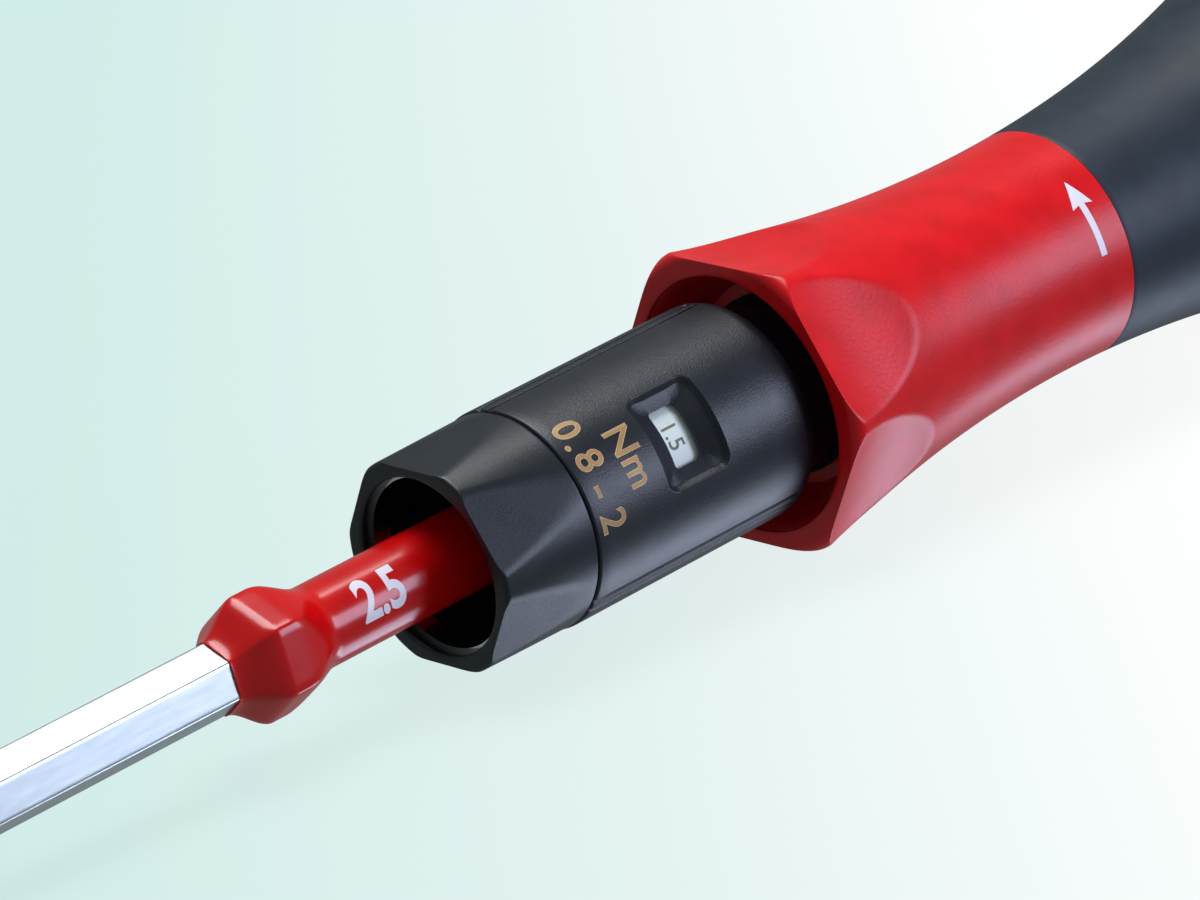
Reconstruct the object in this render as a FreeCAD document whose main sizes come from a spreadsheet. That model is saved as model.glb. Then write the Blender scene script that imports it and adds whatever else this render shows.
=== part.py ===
"""Adjustable torque screwdriver with an exchangeable hexagon blade.

The axis of the tool is X and the tip points along +X. The origin is the middle of the
rear end, where the setting key goes in. One of the collar's six hollows faces down (-Z).
Lengths are millimetres and angles are degrees.
"""
import FreeCAD, Part
import math
import os

import Sketcher

Vector = FreeCAD.Vector
os.makedirs("parts", exist_ok=True)
doc = FreeCAD.newDocument("torque_screwdriver")

SIZES = (
    # handle
    ("collar_face", 96.7, "rear end to the front face of the collar"),
    ("collar_round", 1.0, "rounding of the collar's front edge"),
    ("collar_band", 1.35, "width of the collar's front face, from its rounding to the recess"),
    ("hollow_at", 90.2, "rear end to the deepest place of a collar hollow"),
    ("hollow_height", 10.86, "axis to the deepest place of a collar hollow"),
    ("hollow_sweep", 25.0, "radius of a collar hollow along the handle"),
    ("waist_at", 66.7, "rear end to the narrowest place"),
    ("waist_rad", 9.68, "radius at the narrowest place"),
    ("waist_sweep", 129.0, "radius of the hollow sweep along the waist"),
    ("flare_at", 32.0, "where the hollow sweep turns into the bulge"),
    ("bulge_at", 12.7, "rear end to the widest place"),
    ("bulge_rad", 16.9, "radius at the widest place"),
    ("grip_seam_at", 61.6, "rear end to the seam between handle core and grip"),
    ("grip_wall", 1.5, "thickness of the grip at its seam"),
    ("grip_tail", 2.0, "rear end to the rear lip of the grip"),
    ("lip_wall", 1.3, "thickness of the grip's rear lip round the end cap"),
    ("lip_depth", 4.0, "length of the grip's lip round the end cap"),
    ("core_tail_wall", 1.1, "height of the core's tail over the end cap"),
    ("core_tail_len", 9.0, "widest place to the front end of the core's tail"),
    ("core_wall", 2.4, "thickness of the core round the clutch cavity"),
    ("core_wall_over", 2.0, "length of that wall past the cavity, and short of the flare"),
    ("core_taper", 8.0, "length of the core's taper in front of that wall"),
    ("core_bore", 6.2, "radius of the core's bore along the waist"),
    ("clutch_rad", 8.0, "radius of the clutch cavity"),
    ("cavity_len", 40.0, "rear end to the shoulder of the clutch cavity"),
    ("recess_draft", 2.2, "how far the wall of the collar recess closes in towards its floor"),
    ("recess_depth", 4.9, "depth of the collar recess"),
    ("flat_count", 6, "number of flats round nose ring and bulge, and of collar hollows"),
    ("cut_over", 1.0, "how far a cut runs past the surface that it cuts"),
    # end cap
    ("cap_flange_thick", 3.5, "thickness of the end cap's flange"),
    ("cap_rad", 12.3, "radius of the end cap"),
    ("cap_round", 1.5, "rounding of the end cap's rear edge"),
    ("key_bore", 3.5, "radius of the hole for the setting key"),
    ("cap_gap", 1.3, "end cap's plug to the rear end of the shaft"),
    # bearings
    ("bush_len", 8.0, "length of the front bush"),
    ("bush_rad", 7.0, "outer radius of the front bush"),
    ("thrust_thick", 0.6, "thickness of the thrust washer"),
    ("thrust_rad", 7.4, "outer radius of the thrust washer"),
    ("run_gap", 0.08, "radial clearance of running fits"),
    # clutch
    ("cam_thick", 3.0, "thickness of the cam ring"),
    ("cam_gap", 0.3, "ball carrier to cam ring"),
    ("pocket_count", 12, "ball pockets in the cam ring"),
    ("ball_count", 3, "detent balls"),
    ("ball_rad", 1.1, "radius of a detent ball"),
    ("ball_back", 0.35, "ball centres behind the cam ring's face"),
    ("pocket_gap", 0.02, "clearance round a ball in its pocket and in its seat"),
    ("carrier_thick", 5.0, "thickness of the ball carrier"),
    ("carrier_gap", 0.2, "radial clearance of the sliding rings in the cavity"),
    ("seat_thick", 1.0, "thickness of a spring seat"),
    ("spring_len", 13.7, "length of the clutch spring as set"),
    ("spring_wire", 1.5, "side of the clutch spring's square wire"),
    ("spring_turns", 5, "turns of the clutch spring"),
    ("nut_thick", 4.0, "thickness of the spring nut"),
    ("nut_room", 2.2, "spring nut to the rear end of the shaft"),
    ("slot_wide", 3.2, "width of the two slots in the shaft"),
    ("slot_gap", 0.1, "clearance each side of a lug in its slot"),
    # drive
    ("drive_turn", 60.0, "window about the axis, from +Z towards +Y"),
    ("shaft_rad", 5.0, "outer radius of the drive shaft"),
    ("pin_rad", 0.8, "radius of a neck pin"),
    ("pin_back", 2.4, "neck pins from the rear end of the neck"),
    ("neck_rad", 6.9, "radius of the sleeve's neck"),
    ("sleeve_len", 23.95, "rear shoulder of the sleeve, level with the collar face, to the ring seam"),
    ("sleeve_rad", 9.0, "outer radius of the sleeve"),
    ("sleeve_bore", 7.75, "inner radius of the sleeve"),
    ("sleeve_round", 1.75, "rounding of the sleeve's rear shoulder"),
    ("rear_wall", 7.9, "thickness of the sleeve's rear wall"),
    ("seam_bevel", 0.22, "bevel each side of the ring seam"),
    ("window_len", 2.6, "window opening along the axis"),
    ("window_wide", 4.5, "window opening round the sleeve"),
    ("window_lip", 0.5, "window opening past the floor of the window recess, at each end"),
    ("window_round", 0.45, "corner radius of the window opening"),
    ("funnel_len", 7.2, "window recess along the axis, just above the sleeve"),
    ("funnel_wide", 12.4, "window recess across, just above the sleeve"),
    ("funnel_round", 1.6, "corner radius of the window recess"),
    ("funnel_rise", 0.2, "top plane of the window recess above the sleeve"),
    ("funnel_deep", 1.74, "bottom plane of the window recess below the sleeve"),
    ("groove_wide", 0.45, "width of a side groove of the sleeve"),
    ("groove_deep", 0.3, "depth of a side groove of the sleeve"),
    ("groove_turn", 66.5, "first side groove from the window"),
    ("groove_step", 7.5, "angle between the two grooves of a side"),
    # nose
    ("ring_len", 9.35, "length of the nose ring"),
    ("ring_rear_rad", 8.86, "radius of the nose ring at the seam"),
    ("ring_front_rad", 8.74, "radius of the nose ring at the front"),
    ("ring_round", 0.35, "rounding of the nose ring's front edge"),
    ("ring_flat", 8.0, "axis to a flat of the nose ring at the front"),
    ("ring_lean", 5.4, "angle of a nose ring flat to the axis, opening towards the rear"),
    ("spigot_len", 3.15, "length of the nose ring's spigot"),
    ("mouth_rad", 7.2, "radius of the mouth"),
    ("mouth_lip", 0.3, "rounding of the mouth's front edge"),
    ("mouth_depth", 7.8, "nose face to the front of the socket"),
    ("boss_rad", 6.6, "radius of the socket's front boss"),
    ("mouth_ring_back", 1.0, "nose face to the mouth ring"),
    ("mouth_ring_len", 1.4, "length of the mouth ring"),
    ("mouth_ring_wall", 0.65, "thickness of the mouth ring at its rear"),
    ("mouth_ring_lip", 0.3, "thickness of the mouth ring at its front"),
    # blade
    ("blade_turn", 20.1, "a flat of the blade about the axis, from +Z towards +Y"),
    ("blade_flats", 5.0, "width across the flats of the blade"),
    ("hex_gap", 0.05, "clearance each side of the blade in the socket"),
    ("lead_in", 0.8, "length of the bevel round the mouth of the socket's hexagon"),
    ("lead_in_over", 0.4, "reach of that bevel past the corners of the hexagon"),
    ("clip_back", 5.2, "rear of the socket to the blade clip"),
    ("clip_thick", 1.0, "thickness of the blade clip"),
    ("clip_wall", 0.9, "radial width of the blade clip"),
    ("clip_split", 1.2, "width of the gap in a clip"),
    ("blade_end_gap", 0.4, "spindle to socket, and socket to the end of the blade"),
    ("shank_out", 85.0, "nose face to the end of the full hexagon"),
    ("taper_len", 6.0, "length of the taper to the tip"),
    ("tip_len", 21.5, "length of the small hexagon"),
    ("tip_flats", 2.5, "width across the flats of the tip"),
    ("end_bevel", 0.4, "bevel of the ends of blade and spindle"),
    ("tube_rad", 3.29, "radius of the red tube"),
    ("tube_gap", 0.3, "front of the socket to the red tube"),
    ("hub_flats", 8.9, "width across the flats of the tube's hexagon bulge"),
    ("hub_rad", 5.1, "greatest radius of the bulge"),
    ("hub_rear_at", 12.0, "nose face to the rear of the bulge"),
    ("hub_mid_rear_at", 16.0, "nose face to the rear of the bulge's widest band"),
    ("hub_mid_front_at", 18.2, "nose face to the front of the bulge's widest band"),
    ("hub_front_at", 21.4, "nose face to the front of the bulge"),
    ("hub_foot", 0.1, "height over the tube at which the bulge's sides begin"),
    ("hub_nose_flats", 5.9, "width across the flats at the front of the bulge"),
    # setting spindle and scale
    ("spindle_rad", 3.0, "radius of the setting spindle"),
    ("spindle_inset", 0.6, "rear end of the shaft to the rear end of the spindle"),
    ("key_flats", 3.0, "width across the flats of the key socket"),
    ("key_depth", 6.0, "depth of the key socket"),
    ("flange_rad", 4.6, "radius of the spindle's flange"),
    ("flange_thick", 2.2, "thickness of the spindle's flange"),
    ("stub_rad", 2.4, "radius of the spindle in the drum"),
    ("washer_thick", 0.6, "thickness of the spindle washer"),
    ("washer_rad", 5.6, "radius of the spindle washer"),
    ("drum_len", 4.0, "length of the scale drum"),
    ("drum_rad", 7.4, "radius of the scale drum"),
    ("drum_rim", 1.0, "thickness of the drum's rim"),
    ("drum_hub", 3.8, "radius of the drum's hub"),
    ("drum_web", 1.2, "thickness of the drum's web"),
    ("drum_clip_thick", 0.5, "thickness of the drum clip"),
    ("drum_clip_rad", 3.6, "radius of the drum clip"),
    ("clip_groove", 0.5, "depth of the drum clip's groove"),
    ("stub_end", 0.5, "drum clip to the front end of the spindle"),
)


class Size:
    """A number together with the spreadsheet formula that gives it."""

    def __init__(self, value, text):
        self.value = value
        self.text = text

    def joined(self, other, sign, value):
        return Size(value, f"({self.text} {sign} {size_of(other).text})")

    def __add__(self, other):
        return self.joined(other, "+", self.value + size_of(other).value)

    def __sub__(self, other):
        return self.joined(other, "-", self.value - size_of(other).value)

    def __mul__(self, other):
        return self.joined(other, "*", self.value * size_of(other).value)

    def __truediv__(self, other):
        return self.joined(other, "/", self.value / size_of(other).value)

    def __neg__(self):
        return Size(-self.value, f"(0 - {self.text})")


def size_of(number):
    """The number as a Size."""
    if isinstance(number, Size):
        return number
    return Size(float(number), repr(float(number)))


def root(size):
    return Size(math.sqrt(size.value), f"sqrt({size.text})")


def tangent(angle):
    return Size(math.tan(math.radians(angle.value)), f"tan({angle.text})")


sheet = doc.addObject("Spreadsheet::Sheet", "Sizes")
S = {}
for row, (name, value, meaning) in enumerate(SIZES, start=1):
    sheet.set(f"A{row}", name)
    sheet.set(f"B{row}", str(value))
    sheet.set(f"C{row}", meaning)
    sheet.setAlias(f"B{row}", name)
    S[name] = Size(value, f"Sizes.{name}")
doc.recompute()


# ---- sketching and features -------------------------------------------------

def new_body(label):
    body = doc.addObject("PartDesign::Body", label)
    body.Label = label
    return body


def origin_part(body, role):
    """One of the body's own origin planes or axes."""
    return next(part for part in body.Origin.OriginFeatures if part.Role == role)


def new_sketch(body, name, role, lift=None, spin=None):
    """An empty sketch on an origin plane, lifted along and spun about its normal."""
    sketch = body.newObject("Sketcher::SketchObject", name)
    sketch.AttachmentSupport = [(origin_part(body, role), "")]
    sketch.MapMode = "FlatFace"
    lift = size_of(lift or 0)
    spin = size_of(spin or 0)
    turn = FreeCAD.Rotation(Vector(0, 0, 1), spin.value)
    sketch.AttachmentOffset = FreeCAD.Placement(Vector(0, 0, lift.value), turn)
    if lift.value:
        sketch.setExpression("AttachmentOffset.Base.z", lift.text)
    return sketch


def arc_middle(start, end, radius, side):
    """The middle of the arc from start to end that bulges to its left (side 1) or right."""
    chord = end - start
    half = chord.Length / 2
    rise = radius - math.sqrt(radius ** 2 - half ** 2)
    left = Vector(-chord.y, chord.x, 0) / chord.Length
    return (start + end) / 2 + left * (side * rise)


def pin_place(sketch, edge, end, kind, axis, place):
    """Holds one coordinate of a corner at its size, or on the axis where it is 0."""
    if not isinstance(place, Size) and place == 0:
        sketch.addConstraint(Sketcher.Constraint("PointOnObject", edge, end, axis))
        return
    place = size_of(place)
    origin, corner = (-1, 1), (edge, end)
    if place.value < 0:
        origin, corner, place = corner, origin, -place
    index = sketch.addConstraint(Sketcher.Constraint(kind, *origin, *corner, place.value))
    sketch.setExpression(f"Constraints[{index}]", place.text)


def draw(sketch, corners):
    """Closes an outline. A corner is (x, y), or (x, y, radius, side) where an arc leaves it."""
    count = len(corners)
    points = [Vector(size_of(c[0]).value, size_of(c[1]).value, 0) for c in corners]
    ends = []
    for index, corner in enumerate(corners):
        start, end = points[index], points[(index + 1) % count]
        if len(corner) == 2:
            sketch.addGeometry(Part.LineSegment(start, end), False)
            ends.append((1, 2))
            continue
        radius = size_of(corner[2])
        middle = arc_middle(start, end, radius.value, corner[3])
        clockwise = corner[3] > 0
        first, last = (end, start) if clockwise else (start, end)
        sketch.addGeometry(Part.Arc(first, middle, last), False)
        ends.append((2, 1) if clockwise else (1, 2))
    for index in range(count):
        following = (index + 1) % count
        sketch.addConstraint(Sketcher.Constraint(
            "Coincident", index, ends[index][1], following, ends[following][0]))
    for index, corner in enumerate(corners):
        pin_place(sketch, index, ends[index][0], "DistanceX", -2, corner[0])
        pin_place(sketch, index, ends[index][0], "DistanceY", -1, corner[1])
        if len(corner) == 4:
            radius = size_of(corner[2])
            held = sketch.addConstraint(Sketcher.Constraint("Radius", index, radius.value))
            sketch.setExpression(f"Constraints[{held}]", radius.text)
    return sketch


def draw_circle(sketch, across, up, radius):
    """A circle about the point (across, up)."""
    centre = Vector(size_of(across).value, size_of(up).value, 0)
    sketch.addGeometry(Part.Circle(centre, Vector(0, 0, 1), radius.value), False)
    pin_place(sketch, 0, 3, "DistanceX", -2, across)
    pin_place(sketch, 0, 3, "DistanceY", -1, up)
    held = sketch.addConstraint(Sketcher.Constraint("Radius", 0, radius.value))
    sketch.setExpression(f"Constraints[{held}]", radius.text)
    return sketch


def revolve(body, name, outline, kind="Revolution"):
    """Turns an outline of (station, radius) corners about the axis of the tool."""
    sketch = draw(new_sketch(body, f"{name}_sketch", "XY_Plane"), outline)
    feature = body.newObject(f"PartDesign::{kind}", name)
    feature.Profile = sketch
    feature.ReferenceAxis = (sketch, ["H_Axis"])
    feature.Angle = 360
    sketch.Visibility = False
    return feature


def extrude(body, name, sketch, kind="Pad", length=None, both=False, reverse=False):
    """Pads or pockets a sketch. Without a length a pocket goes through everything."""
    feature = body.newObject(f"PartDesign::{kind}", name)
    feature.Profile = sketch
    feature.Reversed = reverse
    if both:
        feature.SideType = "Symmetric"
    if length is None:
        feature.Type = "ThroughAll"
    else:
        feature.setExpression("Length", length.text)
    sketch.Visibility = False
    return feature


def repeat_round(body, name, feature, count):
    """Repeats a feature evenly about the axis of the tool."""
    pattern = body.newObject("PartDesign::PolarPattern", name)
    pattern.Originals = [feature]
    pattern.Axis = (origin_part(body, "X_Axis"), [""])
    pattern.Angle = 360
    pattern.setExpression("Occurrences", count.text)
    body.Tip = pattern
    return pattern


def turn_about_axis(body, angle):
    """Turns a finished body about the tool's axis, from +Z towards +Y."""
    body.Placement = FreeCAD.Placement(Vector(), FreeCAD.Rotation(Vector(-1, 0, 0), angle.value))
    body.setExpression("Placement.Rotation.Angle", angle.text)


def rectangle(left, right, bottom, top):
    return [(left, bottom), (right, bottom), (right, top), (left, top)]


def rounded_rectangle(middle, length, width, radius):
    """A rectangle about (middle, 0) with rounded corners, anticlockwise."""
    left, right = middle - length / 2, middle + length / 2
    top = width / 2
    low, high = -top + radius, top - radius
    return [(left + radius, -top), (right - radius, -top, radius, -1),
            (right, low), (right, high, radius, -1),
            (right - radius, top), (left + radius, top, radius, -1),
            (left, high), (left, low, radius, -1)]


def hexagon(flats):
    """A regular hexagon about the origin with flats above and below."""
    corner = flats / root(size_of(3))
    half, flat = corner / 2, flats / 2
    return [(half, flat), (corner, 0), (half, -flat), (-half, -flat), (-corner, 0), (-half, flat)]


def ring_outline(rear, front, inner, outer):
    return [(rear, inner), (rear, outer), (front, outer), (front, inner)]


# ---- stations and radii that several pieces share ---------------------------

def sweep_rad(station):
    """Outer radius of the handle along the hollow sweep of its waist."""
    away = station - S["waist_at"]
    depth = root(S["waist_sweep"] * S["waist_sweep"] - away * away)
    return S["waist_rad"] + S["waist_sweep"] - depth


def crown_sweep(run, rise):
    """Radius of the arc that reaches a crown level after the given run and rise."""
    return (run * run + rise * rise) / (rise * 2)


mid_rad = (S["shaft_rad"] + S["clutch_rad"]) / 2
sliding_rad = S["clutch_rad"] - S["carrier_gap"]
shaft_fit = S["shaft_rad"] + S["run_gap"]
spindle_fit = S["spindle_rad"] + S["run_gap"]

cam_face = S["cavity_len"] - S["cam_thick"]
carrier_front = cam_face - S["cam_gap"]
carrier_rear = carrier_front - S["carrier_thick"]
spring_front = carrier_rear - S["seat_thick"]
spring_rear = spring_front - S["spring_len"]
nut_front = spring_rear - S["seat_thick"]
nut_rear = nut_front - S["nut_thick"]
shaft_rear = nut_rear - S["nut_room"]
ball_station = cam_face - S["ball_back"]
seat_rad = S["ball_rad"] + S["pocket_gap"]

recess_floor_at = S["collar_face"] - S["recess_depth"]
neck_rear = recess_floor_at + S["thrust_thick"]
shoulder_at = S["collar_face"]
seam_at = shoulder_at + S["sleeve_len"]
nose_face = seam_at + S["ring_len"]
pin_station = neck_rear + S["pin_back"]

wall_front = shoulder_at + S["rear_wall"]
flange_rear = wall_front + S["washer_thick"]
drum_rear = flange_rear + S["flange_thick"]
drum_front = drum_rear + S["drum_len"]
drum_clip_front = drum_front + S["drum_clip_thick"]
spindle_front = drum_clip_front + S["stub_end"]
window_at = drum_rear + S["drum_len"] / 2

socket_rear = spindle_front + S["blade_end_gap"]
socket_front = nose_face - S["mouth_depth"]
spigot_rear = seam_at - S["spigot_len"]
clip_rear = socket_rear + S["clip_back"]
clip_front = clip_rear + S["clip_thick"]

lip_front = S["grip_tail"] + S["lip_depth"]
tail_rad = S["cap_rad"] + S["lip_wall"]
core_tail_rad = S["cap_rad"] + S["core_tail_wall"]
core_mid_rad = S["clutch_rad"] + S["core_wall"]
core_thin_rad = sweep_rad(S["grip_seam_at"]) - S["grip_wall"]
core_wall_front = S["cavity_len"] + S["core_wall_over"]
core_steps = [
    (lip_front, S["cap_rad"]), (lip_front, core_tail_rad),
    (S["bulge_at"] + S["core_tail_len"], core_tail_rad),
    (S["flare_at"] - S["core_wall_over"], core_mid_rad), (core_wall_front, core_mid_rad),
    (core_wall_front + S["core_taper"], core_thin_rad), (S["grip_seam_at"], core_thin_rad)]


# ---- handle -----------------------------------------------------------------

def cut_hollows(body):
    """Cuts the six hollows of the collar, straight across and curved along the handle."""
    sketch = draw_circle(new_sketch(body, "hollow_sketch", "XZ_Plane"), S["hollow_at"],
                         S["hollow_height"] + S["hollow_sweep"], S["hollow_sweep"])
    cut = extrude(body, "collar_hollow", sketch, "Pocket", S["hollow_height"] * 2, both=True)
    repeat_round(body, "collar_hollows", cut, S["flat_count"])


def make_handle_core():
    body = new_body("handle_core")
    lean = (S["collar_face"] - S["waist_at"]) / S["waist_sweep"]
    round_at = S["collar_face"] - S["collar_round"] * (lean + 1)
    face_rad = sweep_rad(round_at) - S["collar_round"] * root(size_of(1) - lean * lean)
    recess_rad = face_rad - S["collar_band"]
    bush_rear = recess_floor_at - S["bush_len"]
    outline = [(S["cap_flange_thick"], S["clutch_rad"]), (S["cap_flange_thick"], S["cap_rad"])]
    outline += core_steps
    outline += [
        (S["grip_seam_at"], sweep_rad(S["grip_seam_at"]), S["waist_sweep"], -1),
        (round_at, sweep_rad(round_at), S["collar_round"], 1),
        (S["collar_face"], face_rad), (S["collar_face"], recess_rad),
        (recess_floor_at, recess_rad - S["recess_draft"]), (recess_floor_at, S["bush_rad"]),
        (bush_rear, S["bush_rad"]), (bush_rear, S["core_bore"]),
        (S["cavity_len"], S["core_bore"]), (S["cavity_len"], S["clutch_rad"])]
    revolve(body, "core_turned", outline)
    cut_hollows(body)
    return body


def make_grip():
    body = new_body("grip")
    flare_rad = sweep_rad(S["flare_at"])
    bulge_sweep = crown_sweep(S["flare_at"] - S["bulge_at"], S["bulge_rad"] - flare_rad)
    tail_sweep = crown_sweep(S["bulge_at"] - S["grip_tail"], S["bulge_rad"] - tail_rad)
    outline = [
        (S["grip_tail"], S["cap_rad"]), (S["grip_tail"], tail_rad, tail_sweep, 1),
        (S["bulge_at"], S["bulge_rad"], bulge_sweep, 1),
        (S["flare_at"], flare_rad, S["waist_sweep"], -1),
        (S["grip_seam_at"], sweep_rad(S["grip_seam_at"]))]
    revolve(body, "grip_turned", outline + core_steps[::-1])
    return body


def make_end_cap():
    body = new_body("end_cap")
    plug_front = shaft_rear - S["cap_gap"]
    revolve(body, "cap_turned", [
        (0, S["key_bore"]), (0, S["cap_rad"] - S["cap_round"], S["cap_round"], 1),
        (S["cap_round"], S["cap_rad"]), (S["cap_flange_thick"], S["cap_rad"]),
        (S["cap_flange_thick"], S["clutch_rad"]), (plug_front, S["clutch_rad"]),
        (plug_front, S["key_bore"])])
    return body


def make_front_bush():
    body = new_body("front_bush")
    revolve(body, "bush_turned", ring_outline(
        recess_floor_at - S["bush_len"], recess_floor_at, shaft_fit, S["bush_rad"]))
    return body


def make_cam_ring():
    body = new_body("cam_ring")
    revolve(body, "cam_turned", ring_outline(
        cam_face, S["cavity_len"], shaft_fit, S["clutch_rad"]))
    pocket = body.newObject("PartDesign::SubtractiveCone", "cam_pocket")
    pocket.AttachmentSupport = [(origin_part(body, "YZ_Plane"), "")]
    pocket.MapMode = "FlatFace"
    depth = seat_rad * root(size_of(2)) - S["ball_back"]
    pocket.setExpression("Radius1", depth.text)
    pocket.Radius2 = 0
    pocket.setExpression("Height", depth.text)
    pocket.setExpression("AttachmentOffset.Base.y", mid_rad.text)
    pocket.setExpression("AttachmentOffset.Base.z", cam_face.text)
    repeat_round(body, "cam_pockets", pocket, S["pocket_count"])
    turn_about_axis(body, S["drive_turn"])
    return body


# ---- clutch -----------------------------------------------------------------

def add_lugs(body, name, rear, thick, inner):
    """Two lugs that reach in from a ring through the slots of the shaft."""
    half = S["slot_wide"] / 2 - S["slot_gap"]
    reach = S["shaft_rad"] + S["run_gap"] * 3
    sketch = draw(new_sketch(body, f"{name}_sketch", "YZ_Plane", lift=rear),
                  rectangle(-half, half, inner, reach))
    lug = extrude(body, name, sketch, "Pad", thick)
    repeat_round(body, f"{name}s", lug, size_of(2))


def make_ball_carrier():
    body = new_body("ball_carrier")
    revolve(body, "carrier_turned", ring_outline(
        carrier_rear, carrier_front, shaft_fit, sliding_rad))
    floor = ball_station - S["ball_rad"]
    sketch = draw_circle(new_sketch(body, "seat_sketch", "YZ_Plane", lift=floor),
                         0, mid_rad, seat_rad)
    seat = extrude(body, "ball_seat", sketch, "Pocket", carrier_front - floor, reverse=True)
    repeat_round(body, "ball_seats", seat, S["ball_count"])
    add_lugs(body, "carrier_lug", carrier_rear, S["carrier_thick"], spindle_fit)
    turn_about_axis(body, S["drive_turn"])
    return body


def make_detent_balls():
    balls = doc.addObject("Part::Feature", "detent_balls")
    balls.Label = "detent_balls"
    count = int(S["ball_count"].value)
    solids = []
    for number in range(count):
        turn = FreeCAD.Rotation(Vector(-1, 0, 0), 360 * number / count + S["drive_turn"].value)
        centre = Vector(ball_station.value, 0, 0) + turn.multVec(Vector(0, 0, mid_rad.value))
        solids.append(Part.makeSphere(S["ball_rad"].value, centre))
    balls.Shape = Part.makeCompound(solids)
    return balls


def make_spring_seat(label, rear):
    body = new_body(label)
    revolve(body, f"{label}_turned", ring_outline(
        rear, rear + S["seat_thick"], shaft_fit, sliding_rad))
    return body


def make_clutch_spring():
    body = new_body("clutch_spring")
    half = S["spring_wire"] / 2
    sketch = draw(new_sketch(body, "wire_sketch", "XY_Plane"), rectangle(
        spring_rear, spring_rear + S["spring_wire"], mid_rad - half, mid_rad + half))
    coil = body.newObject("PartDesign::AdditiveHelix", "spring_coil")
    coil.Profile = sketch
    coil.ReferenceAxis = (sketch, ["H_Axis"])
    coil.Mode = "height-turns-angle"
    coil.Angle = 0
    coil.setExpression("Height", (S["spring_len"] - S["spring_wire"]).text)
    coil.setExpression("Turns", "Sizes.spring_turns")
    return body


def make_spring_nut():
    body = new_body("spring_nut")
    revolve(body, "nut_turned", ring_outline(nut_rear, nut_front, shaft_fit, sliding_rad))
    add_lugs(body, "nut_lug", nut_rear, S["nut_thick"], spindle_fit)
    turn_about_axis(body, S["drive_turn"])
    return body


# ---- drive ------------------------------------------------------------------

def pin_hole(body, name, reach):
    """A hole across the axis for the two neck pins."""
    sketch = draw_circle(new_sketch(body, f"{name}_sketch", "XZ_Plane"),
                         pin_station, 0, S["pin_rad"])
    extrude(body, name, sketch, "Pocket", reach * 2, both=True)


def make_drive_shaft():
    body = new_body("drive_shaft")
    revolve(body, "shaft_turned", ring_outline(
        shaft_rear, wall_front, spindle_fit, S["shaft_rad"]))
    half = S["slot_wide"] / 2
    sketch = draw(new_sketch(body, "slot_sketch", "XY_Plane"),
                  rectangle(shaft_rear - S["cut_over"], cam_face, -half, half))
    extrude(body, "shaft_slots", sketch, "Pocket", S["clutch_rad"] * 2, both=True)
    pin_hole(body, "shaft_pin_hole", S["neck_rad"])
    turn_about_axis(body, S["drive_turn"])
    return body


def make_neck_pins():
    pins = doc.addObject("Part::Feature", "neck_pins")
    pins.Label = "neck_pins"
    inner = spindle_fit.value + S["run_gap"].value
    length = S["neck_rad"].value - inner
    solids = []
    for side in (-1, 1):
        foot = Vector(pin_station.value, side * inner, 0)
        solids.append(Part.makeCylinder(S["pin_rad"].value, length, foot, Vector(0, side, 0)))
    pins.Shape = Part.makeCompound(solids)
    pins.Placement = FreeCAD.Placement(
        Vector(), FreeCAD.Rotation(Vector(-1, 0, 0), S["drive_turn"].value))
    return pins


def make_thrust_washer():
    body = new_body("thrust_washer")
    revolve(body, "thrust_turned", ring_outline(
        recess_floor_at, neck_rear, shaft_fit, S["thrust_rad"]))
    return body


def cut_window(body):
    """The scale window: an opening with upright walls in a wide sloping recess."""
    top = S["sleeve_rad"] + S["funnel_rise"]
    bottom = S["sleeve_rad"] - S["funnel_deep"]
    narrow = S["window_len"] - S["window_lip"] * 2
    upper = draw(new_sketch(body, "funnel_top", "XY_Plane", lift=top),
                 rounded_rectangle(window_at, S["funnel_len"], S["funnel_wide"],
                                   S["funnel_round"]))
    lower = draw(new_sketch(body, "funnel_bottom", "XY_Plane", lift=bottom),
                 rounded_rectangle(window_at, narrow, S["window_wide"], S["window_round"]))
    funnel = body.newObject("PartDesign::SubtractiveLoft", "window_funnel")
    funnel.Profile = upper
    funnel.Sections = [lower]
    funnel.Ruled = True
    upper.Visibility = False
    lower.Visibility = False
    opening = draw(new_sketch(body, "opening_sketch", "XY_Plane"),
                   rounded_rectangle(window_at, S["window_len"], S["window_wide"],
                                     S["window_round"]))
    extrude(body, "window_opening", opening, "Pocket", reverse=True)


def cut_side_grooves(body):
    """Two fine grooves along each side of the sleeve."""
    floor = S["sleeve_rad"] - S["groove_deep"]
    half = S["groove_wide"] / 2
    for side in (-1, 1):
        for step in (0, 1):
            spin = (S["groove_turn"] + S["groove_step"] * step) * side
            name = f"groove_{'left' if side < 0 else 'right'}_{step}"
            sketch = draw(new_sketch(body, f"{name}_sketch", "YZ_Plane", lift=shoulder_at, spin=spin),
                          rectangle(-half, half, floor, S["sleeve_rad"] + S["cut_over"]))
            sketch.setExpression("AttachmentOffset.Rotation.Angle", spin.text)
            extrude(body, name, sketch, "Pocket", S["sleeve_len"], reverse=True)


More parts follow.
